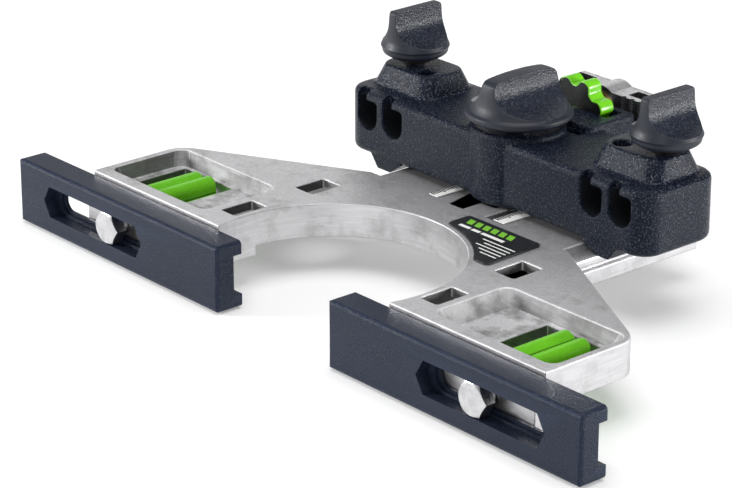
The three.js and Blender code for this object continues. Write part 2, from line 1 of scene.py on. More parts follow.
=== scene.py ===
"""Looks for a router edge guide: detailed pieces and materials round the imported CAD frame.

Shapes are drawn in the design frame of the CAD: millimetres, x = 0 in the middle of the casting,
y = 0 on the fence face, z = 0 under the shoes. finish_piece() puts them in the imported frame, which
is in metres.
"""
import math

import bmesh
import bpy
from mathutils import Matrix, Vector


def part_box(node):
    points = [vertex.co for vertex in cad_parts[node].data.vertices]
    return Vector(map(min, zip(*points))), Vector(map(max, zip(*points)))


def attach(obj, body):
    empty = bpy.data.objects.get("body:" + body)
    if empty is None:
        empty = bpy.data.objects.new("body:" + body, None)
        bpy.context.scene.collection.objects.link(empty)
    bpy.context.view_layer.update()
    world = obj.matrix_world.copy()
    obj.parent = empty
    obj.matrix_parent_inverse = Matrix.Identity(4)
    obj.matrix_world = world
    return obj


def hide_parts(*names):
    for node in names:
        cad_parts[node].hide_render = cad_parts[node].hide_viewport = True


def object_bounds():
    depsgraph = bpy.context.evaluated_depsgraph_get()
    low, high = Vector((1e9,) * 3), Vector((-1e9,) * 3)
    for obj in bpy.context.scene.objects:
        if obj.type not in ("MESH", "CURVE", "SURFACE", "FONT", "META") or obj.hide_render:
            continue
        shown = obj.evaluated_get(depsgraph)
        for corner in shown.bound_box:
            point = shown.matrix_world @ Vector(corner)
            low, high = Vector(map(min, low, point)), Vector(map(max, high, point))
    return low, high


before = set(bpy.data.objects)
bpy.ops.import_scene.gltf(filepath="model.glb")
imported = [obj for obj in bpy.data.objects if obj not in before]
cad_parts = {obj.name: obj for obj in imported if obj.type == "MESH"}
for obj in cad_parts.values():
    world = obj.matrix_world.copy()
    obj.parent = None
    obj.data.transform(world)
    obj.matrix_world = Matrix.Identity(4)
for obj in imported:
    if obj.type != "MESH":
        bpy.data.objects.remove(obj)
cad_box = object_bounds()

MM = 0.001
TURN = 2 * math.pi
casting_low, casting_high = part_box("casting")
MIDDLE_X = (casting_low.x + casting_high.x) / 2
FENCE_Y = cad_box[0][1]
TO_FRAME = Matrix.Translation((MIDDLE_X, FENCE_Y, 0)) @ Matrix.Scale(MM, 4)
TO_DESIGN = TO_FRAME.inverted()

# ---------------------------------------------------------------- dimensions, in millimetres

SIDES = (("left", -1), ("right", 1))

# Knobs: grip is half the blade's thickness, bore its steps from below as (radius, top).
LOCK = {"y": 95.4, "bottom": 47.6, "rim": 50.2, "radius": 16.5, "top": 61.6, "grip": 2.7,
        "bore": [(6.5, 52.3), (4.3, 54.5)], "voxel": 0.17}
WING = {"x": 54.7, "y": 102.1, "bottom": 52.0, "rim": 55.6, "top": 67.7, "radius": 10.9, "foot": 8.3,
        "grip": 1.6, "bore": [(3.3, 59.3)], "voxel": 0.13}

# Ribbed pieces: a higher flatness squares the lobes, and a lower fullness widens them.
NUT = {"x": 82.7, "z": 10.8, "front": 16.4, "length": 23.0, "tip": 9.2, "root": 6.8, "lobes": 6,
       "phase": 33.0, "flatness": 0.5, "fullness": 0.6, "bore": 5.1, "edge": 1.0}
WHEEL = {"x": 0.0, "z": 42.4, "front": 118.9, "length": 5.7, "tip": 12.2, "root": 9.7, "lobes": 8,
         "phase": 21.0, "flatness": 1.6, "fullness": 1.0, "bore": 3.3, "edge": 0.5}

BOLT = {"x": 82.7, "z": 10.8, "flats": 9.8, "face": 0.1, "head": 4.0, "shank": 3.0, "plain": 12.0,
        "end": 39.3}
SPINDLE = {"z": 42.4, "radius": 3.0, "front": 108.5, "plain": 1.5, "rear": 143.0}
THREAD = {"pitch": 1.0, "depth": 0.32}

HOUSING = {"top": 43.6, "voxel": 0.33}
BOSS = {"inner": 33.0, "front": 87.4, "rear": 113.2}
SPARE_THREAD = {"x": 42.9, "y": 96.3, "rim": 3.4}
ROD = {"spacings": (43.7, 55.5), "reach": 4.7, "low": 30.6, "high": 41.2, "front": 83.6}

# Places on either side of the casting: x0, x1, y0, y1 and, for a window, the top of its walls.
CASTING_TOP = 22.3
POCKET_FLOOR = 17.3
POCKET = (50.8, 99.4, 14.0, 43.6)
WINDOWS = [(70.0, 95.0, 14.2, 40.8, POCKET_FLOOR - 0.5), (41.2, 49.0, 18.2, 31.2, CASTING_TOP - 0.6),
           (40.2, 49.2, 47.2, 59.6, CASTING_TOP - 0.6)]
EDGES = {"casting": 0.35, "bracket": 0.25, "shoe": 0.35}
BIG_FACE = 40.0                          # square millimetres: larger flat faces are shaded flat

LABEL_TOP = 22.9
STRIPES = {"count": 6, "left": 9.0, "pitch": 3.4, "width": 2.4, "front": 66.0, "rear": 69.0,
           "slant": -1.2}
WORD_BARS = {"spans": [(8.6, 13.2), (14.0, 17.4), (18.2, 27.6)], "front": 63.1, "rear": 64.4}
THIN_LINES = {"lefts": (21.7, 24.2, 22.8, 26.0, 28.6), "right": 35.2, "first": 61.0, "pitch": 1.9,
              "half": 0.22}
SCALE = {"lefts": (-17.9, 10.8), "front": 75.4, "rear": 92.0, "top": 22.2, "first": 0.6}
TICK = {"short": 1.7, "long": 2.3, "half": 0.3}

# ---------------------------------------------------------------- light, floor and camera

LIGHTS = [                               # name, place and size in metres, and power in watts
    ("key", (-1.0, -0.92, 0.4), 0.5, 16.0),
    ("top", (0.15, -0.1, 1.5), 1.4, 16.0),
    ("side", (1.05, 0.8, 0.14), 0.4, 16.0),
    ("back", (-0.85, 0.73, 0.46), 1.0, 1.6),
    ("fill", (0.75, -1.2, 0.5), 0.5, 3.5),
]
LIGHTS_AIM = Vector((0.0, 0.0, 0.025))
SKY = 0.18                               # strength of the white surroundings
FLOOR = {"half": 2.5, "low": -0.02, "top": -0.0005}   # metres
# The camera's place is in millimetres in the design frame, and its angles are in degrees.
CAMERA = {"place": (610.7, -491.3, 343.6), "azimuth": 49.273, "elevation": 21.778, "lens": 145.9}

# ---------------------------------------------------------------- mesh tools


def new_object(name, mesh):
    obj = bpy.data.objects.new(name, mesh)
    bpy.context.scene.collection.objects.link(obj)
    return obj


def from_bmesh(name, bm):
    bmesh.ops.recalc_face_normals(bm, faces=bm.faces)
    mesh = bpy.data.meshes.new(name)
    bm.to_mesh(mesh)
    bm.free()
    return new_object(name, mesh)


def modify(obj, kind, **settings):
    """Adds one modifier, applies it and removes it."""
    modifier = obj.modifiers.new(kind.lower(), kind)
    for key, value in settings.items():
        setattr(modifier, key, value)
    graph = bpy.context.evaluated_depsgraph_get()
    mesh = bpy.data.meshes.new_from_object(obj.evaluated_get(graph))
    obj.modifiers.clear()
    old = obj.data
    obj.data = mesh
    bpy.data.meshes.remove(old)
    return obj


def boolean(obj, tool, operation="DIFFERENCE"):
    modify(obj, "BOOLEAN", object=tool, operation=operation, solver="EXACT")
    bpy.data.objects.remove(tool)
    return obj


def copy_of(node, name):
    """The CAD node's shape as a new object in millimetres, with flat areas merged into one face."""
    bm = bmesh.new()
    bm.from_mesh(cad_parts[node].data)
    bmesh.ops.transform(bm, matrix=TO_DESIGN, verts=bm.verts)
    bmesh.ops.remove_doubles(bm, verts=bm.verts, dist=0.002)
    bmesh.ops.dissolve_limit(bm, angle_limit=math.radians(0.6), verts=bm.verts, edges=bm.edges)
    return from_bmesh(name, bm)


def lathe(name, profile, x, y, z=0.0, axis="Z", steps=96):
    """Turns [radius, distance] pairs about a line along Z or Y through the point (x, y, z)."""
    bm = bmesh.new()
    rings = []
    for radius, distance in profile:
        if radius < 1e-6:
            rings.append([bm.verts.new((0, 0, distance))])
            continue
        ring = []
        for i in range(steps):
            angle = TURN * i / steps
            ring.append(bm.verts.new((radius * math.cos(angle), radius * math.sin(angle), distance)))
        rings.append(ring)
    for lower, upper in zip(rings, rings[1:]):
        for i in range(steps):
            j = (i + 1) % steps
            if len(lower) == 1:
                bm.faces.new((lower[0], upper[j], upper[i]))
            elif len(upper) == 1:
                bm.faces.new((lower[i], lower[j], upper[0]))
            else:
                bm.faces.new((lower[i], lower[j], upper[j], upper[i]))
    if axis == "Y":
        bmesh.ops.rotate(bm, verts=bm.verts, matrix=Matrix.Rotation(-math.pi / 2, 3, "X"))
    bmesh.ops.translate(bm, verts=bm.verts, vec=(x, y, z))
    return from_bmesh(name, bm)


def add_solid(bm, lower, upper):
    """Adds the closed solid between two outlines that have the same number of points."""
    ends = [[bm.verts.new(point) for point in outline] for outline in (lower, upper)]
    bm.faces.new(ends[0])
    bm.faces.new(ends[1])
    for i in range(len(lower)):
        j = (i + 1) % len(lower)
        bm.faces.new((ends[0][i], ends[0][j], ends[1][j], ends[1][i]))


def prism(name, outline, start, end, axis="Y"):
    """Extrudes an outline of (x, z) pairs along Y, or of (x, y) pairs along Z, from start to end."""
    bm = bmesh.new()
    if axis == "Y":
        add_solid(bm, [(a, start, b) for a, b in outline], [(a, end, b) for a, b in outline])
    else:
        add_solid(bm, [(a, b, start) for a, b in outline], [(a, b, end) for a, b in outline])
    return from_bmesh(name, bm)


def smooth_line(points, steps=6):
    """A Catmull-Rom curve through the points."""
    line = []
    for i in range(len(points) - 1):
        before = Vector(points[max(i - 1, 0)])
        a, b = Vector(points[i]), Vector(points[i + 1])
        after = Vector(points[min(i + 2, len(points) - 1)])
        for k in range(steps):
            t = k / steps
            line.append(tuple(
                0.5 * ((2 * a) + (b - before) * t + (2 * before - 5 * a + 4 * b - after) * t * t
                       + (3 * a - before - 3 * b + after) * t ** 3)
            ))
    line.append(tuple(points[-1]))
    return line


def remeshed(obj, voxel, softer=None, rounds=2, softer_rounds=26, kept=0.3):
    """Rounds every edge a little: an even voxel skin, smoothed, with a share of its faces kept.

    Points for which softer(point) is true are rounded much more.
    """
    modify(obj, "REMESH", mode="VOXEL", voxel_size=voxel, adaptivity=0)
    if softer:
        group = obj.vertex_groups.new(name="softer")
        group.add([v.index for v in obj.data.vertices if softer(v.co)], 1.0, "REPLACE")
        modify(obj, "SMOOTH", factor=0.5, iterations=softer_rounds, vertex_group="softer")
    modify(obj, "SMOOTH", factor=0.5, iterations=rounds)
    modify(obj, "DECIMATE", decimate_type="COLLAPSE", ratio=kept)
    return obj


def shaded(obj, degrees):
    mesh = obj.data
    mesh.polygons.foreach_set("use_smooth", [True] * len(mesh.polygons))
    mesh.set_sharp_from_angle(angle=math.radians(degrees))
    return obj


def bevelled(obj, width, materials, clamp=True):
    """Rounds the edges, shades big faces flat and puts the last of the materials on the edges."""
    for material in materials:
        obj.data.materials.append(material)
    modify(obj, "BEVEL", width=width, segments=3, limit_method="ANGLE",
           angle_limit=math.radians(28.0), use_clamp_overlap=clamp, miter_outer="MITER_ARC",
           material=len(materials) - 1)
    shaded(obj, 40)
    for face in obj.data.polygons:
        if face.area > BIG_FACE:
            face.use_smooth = False
    modify(obj, "WEIGHTED_NORMAL", mode="FACE_AREA", weight=100, keep_sharp=True)
    return obj


def finish_piece(obj, body, materials, nodes=()):
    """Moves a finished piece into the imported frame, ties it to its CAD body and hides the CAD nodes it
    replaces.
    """
    obj.data.transform(TO_FRAME)
    for material in materials:
        obj.data.materials.append(material)
    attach(obj, body)
    if nodes:
        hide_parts(*nodes)
    return obj


# ---------------------------------------------------------------- material tools


class Nodes:
    """A short way to write a material's node tree."""

    def __init__(self, name):
        self.material = bpy.data.materials.new(name)
        self.material.use_nodes = True
        self.tree = self.material.node_tree
        self.tree.nodes.clear()
        self.shader = self.add("ShaderNodeBsdfPrincipled")
        output = self.add("ShaderNodeOutputMaterial")
        self.link(self.shader.outputs[0], output.inputs["Surface"])
        self.where = self.add("ShaderNodeTexCoord").outputs["Object"]

    def add(self, kind, **settings):
        node = self.tree.nodes.new(kind)
        for key, value in settings.items():
            setattr(node, key, value)
        return node

    def link(self, source, target):
        self.tree.links.new(source, target)

    def set(self, **values):
        for key, value in values.items():
            self.shader.inputs[key.replace("_", " ")].default_value = value

    def noise(self, scale, detail=2.0, roughness=0.5, stretch=None):
        node = self.add("ShaderNodeTexNoise")
        node.inputs["Scale"].default_value = scale
        node.inputs["Detail"].default_value = detail
        node.inputs["Roughness"].default_value = roughness
        where = self.where
        if stretch:
            mapping = self.add("ShaderNodeMapping")
            mapping.inputs["Scale"].default_value = stretch
            self.link(where, mapping.inputs["Vector"])
            where = mapping.outputs[0]
        self.link(where, node.inputs["Vector"])
        return node.outputs["Fac"]

    def ramp(self, source, low, high, start=0.0, end=1.0):
        """Spreads source from low..high to start..end."""
        node = self.add("ShaderNodeMapRange")
        for socket, value in zip(("From Min", "From Max", "To Min", "To Max"), (low, high, start, end)):
            node.inputs[socket].default_value = value
        self.link(source, node.inputs["Value"])
        return node.outputs[0]

    def math(self, operation, a, b):
        node = self.add("ShaderNodeMath", operation=operation)
        for socket, value in zip(node.inputs, (a, b)):
            if isinstance(value, (int, float)):
                socket.default_value = value
            else:
                self.link(value, socket)
        return node.outputs[0]

    def blend(self, factor, a, b):
        """Mixes two colours or colour outputs by a factor output."""
        node = self.add("ShaderNodeMix", data_type="RGBA")
        self.link(factor, node.inputs["Factor"])
        for socket, value in ((node.inputs[6], a), (node.inputs[7], b)):
            if isinstance(value, tuple):
                socket.default_value = (*value, 1.0)
            else:
                self.link(value, socket)
        return node.outputs[2]

    def bump(self, height, strength, distance):
        node = self.add("ShaderNodeBump")
        node.inputs["Strength"].default_value = strength
        node.inputs["Distance"].default_value = distance
        self.link(height, node.inputs["Height"])
        return node.outputs[0]

    def edges(self, low=0.52, high=0.62):
        """1 on sharp convex edges and 0 elsewhere; with low above high, 1 in hollows."""
        return self.ramp(self.add("ShaderNodeNewGeometry").outputs["Pointiness"], low, high)

    def upness(self):
        """1 where a face looks straight up and 0 where it is upright."""
        split = self.add("ShaderNodeSeparateXYZ")
        self.link(self.add("ShaderNodeNewGeometry").outputs["Normal"], split.inputs[0])
        return self.ramp(split.outputs["Z"], 0.35, 0.8)

    def use(self, **sources):
        for key, source in sources.items():
            self.link(source, self.shader.inputs[key.replace("_", " ")])
        return self.material


def grey(value):
    """A grey with a touch of violet, as bare aluminium has under white light."""
    return (value, value * 0.99, value * 1.01)


def moulded(name, dark, light, grain, depth, rough, glint, gloss):
    """Textured plastic: coarse spark-eroded grain, a finer one in it, painted glints on its specks, and
    paler edges that are partly wear and partly painted highlight.

    grain is the scale of the coarse grain and depth its height in metres, rough the lowest and
    highest roughness, glint how bright the painted glints on the raised specks are, and gloss the
    specular level.
    """
    n = Nodes(name)
    coarse = n.noise(grain, 2.0, 0.6)
    fine = n.noise(grain * 2.7, 2.0, 0.55)
    cloud = n.noise(34.0, 3.0, 0.6)
    painted_glints = n.ramp(coarse, 0.54, 0.68)
    tone = n.blend(n.ramp(cloud, 0.3, 0.7), dark, light)
    # Painted glints: the raised specks are coloured pale, as if light glinted on them.
    tone = n.blend(n.math("MULTIPLY", painted_glints, 0.7), tone, (glint, glint * 1.08, glint * 1.3))
    # Paler edges: partly wear and partly a painted highlight.
    tone = n.blend(n.math("MULTIPLY", n.edges(), 0.35), tone, tuple(min(c * 2.0, 1.0) for c in light))
    height = n.math("ADD", coarse, n.math("MULTIPLY", fine, 0.3))
    n.set(Metallic=0.0, IOR=1.5, Specular_IOR_Level=gloss)
    return n.use(Base_Color=tone, Roughness=n.ramp(coarse, 0.38, 0.66, rough[1], rough[0]),
                 Normal=n.bump(height, 1.0, depth))


def smooth_plastic(name, dark, light, roughness, hollow_shade=0.0):
    """Satin plastic with faint flow marks, light scuffs and paler edges, partly wear and partly painted
    highlight; the last argument darkens its hollows with painted shade.
    """
    n = Nodes(name)
    flow = n.noise(60.0, 4.0, 0.6, (1.0, 1.0, 3.0))
    scuff = n.noise(900.0, 3.0, 0.7, (1.0, 0.25, 1.0))
    grain = n.noise(2600.0, 2.0, 0.5)
    tone = n.blend(n.ramp(flow, 0.3, 0.7), dark, light)
    # Paler edges: partly wear and partly a painted highlight.
    tone = n.blend(n.math("MULTIPLY", n.edges(), 0.4), tone, tuple(min(c * 1.6, 1.0) for c in light))
    # Painted shade in the hollows, such as the grooves between ribs.
    if hollow_shade:
        hollow = n.math("MULTIPLY", n.edges(0.499, 0.486), hollow_shade)
        tone = n.blend(hollow, tone, tuple(c * 0.16 for c in dark))
    n.set(Metallic=0.0, IOR=1.5, Specular_IOR_Level=0.42)
    return n.use(Base_Color=tone, Roughness=n.ramp(scuff, 0.3, 0.75, roughness + 0.08, roughness - 0.06),
                 Normal=n.bump(grain, 0.25, 0.00004))


def cast_metal(name, roughness, stained, share, upright, stain_scale=110.0):
    """Shot-blasted cast aluminium; upright is how bright the upright faces are.

    Stains lie where the stain noise is above stained, and darken by share.
    """
    n = Nodes(name)
    top = n.upness()
    blast = n.noise(1500.0, 3.0, 0.65)
    cloud = n.noise(26.0, 4.0, 0.6)
    stain = n.noise(stain_scale, 5.0, 0.65)
    lines = n.noise(420.0, 2.0, 0.5, (0.3, 0.3, 3.0))
    blasted = n.blend(n.ramp(cloud, 0.3, 0.7), grey(0.6), grey(0.74))
    blasted = n.blend(n.math("MULTIPLY", n.ramp(blast, 0.5, 0.66), 0.6), blasted, (0.9, 0.9, 0.91))
    machined = n.blend(n.ramp(lines, 0.3, 0.7), grey(upright), grey(upright + 0.1))
    tone = n.blend(top, machined, blasted)
    dark = n.math("MULTIPLY", n.ramp(stain, stained, stained + 0.2), share)
    tone = n.blend(dark, tone, (0.2, 0.195, 0.195))
    rough = n.ramp(top, 0.0, 1.0, roughness - 0.16, roughness)
    height = n.math("ADD", n.math("MULTIPLY", blast, top), n.math("MULTIPLY", lines, 0.15))
    n.set(Metallic=0.95)
    return n.use(Base_Color=tone, Roughness=n.math("ADD", rough, n.ramp(stain, 0.4, 0.8, 0.0, 0.08)),
                 Normal=n.bump(height, 0.8, 0.00016))


def plated(name, dark, light, roughness):
    """Plated or turned metal with fine turning marks and small stains."""
    n = Nodes(name)
    marks = n.noise(1500.0, 2.0, 0.5, (1.0, 0.2, 1.0))
    stain = n.noise(400.0, 4.0, 0.6)
    tone = n.blend(n.ramp(stain, 0.35, 0.75), light, dark)
    n.set(Metallic=1.0)
    return n.use(Base_Color=tone, Roughness=n.ramp(stain, 0.3, 0.8, roughness, roughness + 0.14),
                 Normal=n.bump(marks, 0.25, 0.00003))


def flat_print(name, colour, roughness):
    """Printed film or tape: nearly even, with a fine fibre and a few rubbed spots."""
    n = Nodes(name)
    fibre = n.noise(3200.0, 2.0, 0.5)
    rub = n.noise(240.0, 4.0, 0.6)
    worn = tuple(min(c * 0.8 + 0.03, 1.0) for c in colour)
    tone = n.blend(n.ramp(rub, 0.55, 0.8), colour, worn)
    return n.use(Base_Color=tone, Roughness=n.ramp(rub, 0.3, 0.7, roughness - 0.05, roughness + 0.08),
                 Normal=n.bump(fibre, 0.2, 0.00002))


BODY_PLASTIC = moulded("body_plastic", (0.003, 0.006, 0.016), (0.004, 0.008, 0.018),
                       grain=1900.0, depth=0.00026, rough=(0.15, 0.27), glint=0.09, gloss=0.14)
# The bosses' sides get brighter specks than the rest of the housing: painted glints.
BOSS_GLINT_PLASTIC = moulded("boss_glint_plastic", (0.003, 0.006, 0.016), (0.004, 0.008, 0.018),
                       grain=1700.0, depth=0.00024, rough=(0.15, 0.27), glint=0.15, gloss=0.16)
SHOE_PLASTIC = moulded("shoe_plastic", (0.008, 0.014, 0.031), (0.012, 0.019, 0.039),
                       grain=2000.0, depth=0.0002, rough=(0.24, 0.4), glint=0.06, gloss=0.17)
GRIP_PLASTIC = moulded("grip_plastic", (0.007, 0.010, 0.020), (0.012, 0.016, 0.028),
                       grain=1700.0, depth=0.0002, rough=(0.17, 0.3), glint=0.08, gloss=0.32)
KNOB_PLASTIC = smooth_plastic("knob_plastic", (0.009, 0.012, 0.021), (0.013, 0.017, 0.028), 0.46)
# Nearly black plastic for the insides of the rod slots: painted shade.
PAINTED_SHADE_PLASTIC = moulded("painted_shade_plastic", (0.003, 0.004, 0.006), (0.005, 0.006, 0.009),
                        grain=1500.0, depth=0.0002, rough=(0.55, 0.7), glint=0.012, gloss=0.2)
BLACK_PLASTIC = smooth_plastic("black_plastic", (0.003, 0.0035, 0.004), (0.005, 0.0055, 0.006), 0.6)
# The green ribs get painted shade in their grooves.
GREEN_PLASTIC = smooth_plastic("green_plastic", (0.13, 0.5, 0.01), (0.17, 0.6, 0.014), 0.25,
                               hollow_shade=0.8)
CAST_METAL = cast_metal("cast_aluminium", roughness=0.48, stained=0.5, share=0.4, upright=0.57)
# The pockets' walls are painted much darker than other cast walls, as shade in the recess; their stains
# are heavier too.
POCKET_CAST = cast_metal("pocket_casting", roughness=0.78, stained=0.44, share=0.7, upright=0.24)
ROUGH_CAST = cast_metal("rough_casting", roughness=0.36, stained=0.48, share=0.65, upright=0.34,
                        stain_scale=330.0)
EDGE_CAST = cast_metal("worn_casting", roughness=0.66, stained=0.5, share=0.3, upright=0.5)
# Dark metal on the windows' walls: painted shade in the recesses.
WINDOW_SHADE_CAST = plated("window_shade_casting", (0.1, 0.1, 0.1), (0.16, 0.16, 0.16), 0.55)
ZINC = plated("zinc", (0.46, 0.46, 0.47), (0.66, 0.66, 0.67), 0.26)
DARK_STEEL = plated("dark_steel", (0.03, 0.03, 0.032), (0.06, 0.06, 0.065), 0.45)
BRASS = plated("brass", (0.52, 0.36, 0.13), (0.72, 0.53, 0.22), 0.28)
# Brass made nearly black, for the thread inserts that show in the gaps under the wing knobs.
DARK_BRASS = plated("dark_brass", (0.05, 0.04, 0.025), (0.1, 0.08, 0.05), 0.5)
LABEL_FILM = flat_print("label_film", (0.012, 0.014, 0.016), 0.34)
WHITE_PRINT = flat_print("white_print", (0.9, 0.9, 0.88), 0.5)
GREEN_PRINT = flat_print("green_print", (0.2, 0.55, 0.04), 0.4)
BLACK_PRINT = flat_print("black_print", (0.02, 0.02, 0.02), 0.5)

# ---------------------------------------------------------------- shapes


def lobed_bar(name, spec, steps_per_lobe=24, corner_steps=5):
    """A ribbed wheel or nut along Y with rounded ends and a bore."""
    count = spec["lobes"] * steps_per_lobe
    phase = math.radians(spec["phase"])
    bm = bmesh.new()

    def ring(y, radii):
        points = []
        for i, radius in enumerate(radii):
            angle = TURN * i / count + phase
            x = spec["x"] + radius * math.sin(angle)
            z = spec["z"] + radius * math.cos(angle)
            points.append(bm.verts.new((x, y, z)))
        return points

    lobes = []
    for i in range(count):
        wave = math.tanh(spec["flatness"] * math.cos(spec["lobes"] * TURN * i / count))
        swell = (0.5 + 0.5 * wave / math.tanh(spec["flatness"])) ** spec["fullness"]
        lobes.append(spec["root"] + (spec["tip"] - spec["root"]) * swell)
    corner = []
    for k in range(corner_steps + 1):
        angle = 0.25 * TURN * k / corner_steps
        corner.append((spec["edge"] * (1 - math.sin(angle)), spec["edge"] * (1 - math.cos(angle))))
    front = spec["front"]
    rear = front + spec["length"]
    stations = [(inset, front + depth) for inset, depth in corner]
    stations += [(inset, rear - depth) for inset, depth in reversed(corner)]
    rings = [ring(y, [radius - inset for radius in lobes]) for inset, y in stations]
    rings += [ring(y, [spec["bore"]] * count) for y in (rear, front)]
    for index, here in enumerate(rings):
        following = rings[(index + 1) % len(rings)]
        for i in range(count):
            j = (i + 1) % count
            bm.faces.new((here[i], here[j], following[j], following[i]))
    return from_bmesh(name, bm)


def near_line(point, line, reach):
    """True where the point lies within reach of the polyline."""
    for start, end in zip(line, line[1:]):
        a, b = Vector(start), Vector(end)
        along = b - a
        t = max(0.0, min(1.0, (point - a).dot(along) / max(along.length_squared, 1e-9)))
        if (point - a - along * t).length < reach:
            return True
    return False


def lock_outlines():
    """The lock knob's turned profile, and the line of the scoop beside its blade."""
    bottom, rim, top, radius, grip = (LOCK[key] for key in ("bottom", "rim", "top", "radius", "grip"))
    profile = [(0, bottom), (radius - 0.8, bottom), (radius, bottom + 0.8), (radius, rim - 0.6),
               (radius - 0.6, rim)]
    profile += smooth_line([(radius - 0.9, rim + 0.1), (radius - 2.2, rim + 2.6),
                            (radius - 3.0, top - 3.4), (radius - 3.7, top - 1.6),
                            (radius - 5.6, top - 0.7), (5.0, top - 0.15)])
    profile.append((0, top))
    scoop = smooth_line([(grip, top + 1), (grip, top - 2.0), (grip + 0.6, top - 5.0),
                         (grip + 2.4, top - 7.4), (grip + 5.6, top - 9.2), (radius - 0.6, rim + 0.2),
                         (radius + 4, rim + 0.1)])
    return profile, scoop


def wing_outlines():
    """The same two lines for a wing knob."""
    bottom, rim, top, radius, grip = (WING[key] for key in ("bottom", "rim", "top", "radius", "grip"))
    profile = [(0, bottom), (WING["foot"], bottom)]
    profile += smooth_line([(WING["foot"] + 0.3, bottom + 0.2), (radius - 0.7, bottom + 1.3),
                            (radius - 0.35, rim - 0.8), (radius, rim - 0.2), (radius - 0.35, rim + 0.7),
                            (radius - 0.9, rim + 2.6), (radius - 1.0, top - 4),
                            (radius - 1.2, top - 0.8)])
    profile += [(radius - 1.8, top), (0, top)]
    scoop = smooth_line([(grip, top + 1), (grip, top - 2.5), (grip + 0.3, top - 5.2),
                         (grip + 1.6, top - 7.6), (grip + 4.0, top - 9.6), (radius - 1.2, rim + 1.1),
                         (radius + 4, rim + 0.6)])
    return profile, scoop


def grip_knob(name, spec, outlines, spot, body, node):
    """A turned knob with a scoop out of each side, which leaves a blade to hold.

    spec is LOCK or WING, outlines the knob's profile and scoop, and spot its (x, y).
    """
    profile, scoop = outlines
    knob = lathe(name, profile, 0, 0)
    low = profile[0][1] - 1
    reach = 2 * max(radius for radius, _ in profile)
    roof = [(scoop[-1][0] + reach, scoop[-1][1]), (scoop[-1][0] + reach, scoop[0][1] + 3),
            (scoop[0][0], scoop[0][1] + 3)]
    for _, sign in SIDES:
        outline = [(sign * a, b) for a, b in scoop + roof]
        boolean(knob, prism("scoop", outline, -reach, reach))
    for radius, top in spec["bore"]:
        boolean(knob, lathe("bore", [(0, low), (radius, low), (radius, top), (0, top)], 0, 0))
    remeshed(knob, spec["voxel"])
    knob.data.materials.append(KNOB_PLASTIC)
    knob.data.materials.append(GRIP_PLASTIC)
    for face in knob.data.polygons:
        centre = Vector((abs(face.center.x), face.center.z))
        scooped = abs(face.normal.y) < 0.3 and near_line(centre, scoop, 0.3)
        face.material_index = 1 if scooped else 0
    knob.data.transform(Matrix.Translation((*spot, 0)))
    shaded(knob, 50)
    return finish_piece(knob, body, (), [node])


def change_material(obj, chosen, index=1):
    """Gives another of the object's materials to faces for which chosen(centre, normal) is true."""
    for face in obj.data.polygons:
        if chosen(face.center, face.normal):
            face.material_index = index
    return obj


def in_rod_slot(centre, normal):
    """On the walls inside the slots for the guide rods, which are made nearly black as painted shade."""
    if not ROD["low"] < centre.z < ROD["high"] or centre.y < ROD["front"]:
        return False
    return any(abs(abs(centre.x) - middle) < ROD["reach"] for middle in ROD["spacings"])


def on_boss(point):
    """On the tapered bosses of the housing, apart from the rim of the spare thread."""
    if abs(point.x) <= BOSS["inner"] or not BOSS["front"] < point.y < BOSS["rear"]:
        return False
    from_spare = math.hypot(abs(point.x) - SPARE_THREAD["x"], point.y - SPARE_THREAD["y"])
    return point.z > HOUSING["top"] - 0.6 and from_spare > SPARE_THREAD["rim"]


def on_boss_side(centre, normal):
    """On the bosses' sides, whose specks are painted brighter, as glints, than on the flat faces."""
    return on_boss(centre) and abs(normal.z) < 0.9


def in_window(centre, normal):
    """On a window's walls, which get a dark metal as painted shade, apart from the rear one, which
    catches the light.
    """
    if normal.y < -0.6:
        return False
    return any(x0 < abs(centre.x) < x1 and y0 < centre.y < y1 and centre.z < top
               for x0, x1, y0, y1, top in WINDOWS)


def in_pocket(centre, normal):
    """On the walls and the floor of the finger pockets."""
    x0, x1, y0, y1 = POCKET
    if not (x0 < abs(centre.x) < x1 and y0 < centre.y < y1):
        return False
    return POCKET_FLOOR - 0.4 < centre.z < CASTING_TOP - 0.3


def threaded_rod(name, radius, start, thread_start, end, x, z):
    """A rod along Y with a chamfered end and ridges of thread from thread_start to near the end."""
    pitch = THREAD["pitch"]
    root = radius - THREAD["depth"]
    profile = [(0, start), (radius, start), (radius, thread_start)]
    ridge = thread_start
    while ridge < end - 2 * pitch:
        profile += [(root, ridge + pitch * 0.4), (root, ridge + pitch * 0.55)]
        profile += [(radius, ridge + pitch * 0.9), (radius, ridge + pitch)]
        ridge += pitch
    profile += [(radius, end - 0.8), (radius - 0.7, end), (0, end)]
    return lathe(name, profile, x, 0, z, "Y", 48)


def hexagon_bolt(name, x):
    """A hexagon-head bolt with chamfered corners, a washer face and a threaded end."""
    z = BOLT["z"]
    front = BOLT["face"]
    back = front + BOLT["head"]
    corner = BOLT["flats"] / 2 / math.cos(TURN / 12)
    hexagon = [(x + corner * math.cos(TURN * i / 6), z + corner * math.sin(TURN * i / 6))
               for i in range(6)]
    inner = BOLT["flats"] / 2 - 0.15
    outer = corner + 1
    slope = math.tan(math.radians(30))
    cone = [(0, front), (inner, front), (outer, front + (outer - inner) * slope),
            (outer, back - 0.25), (inner, back), (0, back)]
    bolt = prism(name, hexagon, front - 1, back + 1)
    boolean(bolt, lathe("cone", cone, x, 0, z, "Y"), "INTERSECT")
    rod = threaded_rod("rod", BOLT["shank"], back - 1, back + BOLT["plain"], BOLT["end"], x, z)
    boolean(bolt, rod, "UNION")
    return shaded(bolt, 25)


# ---------------------------------------------------------------- plastic housing and knobs

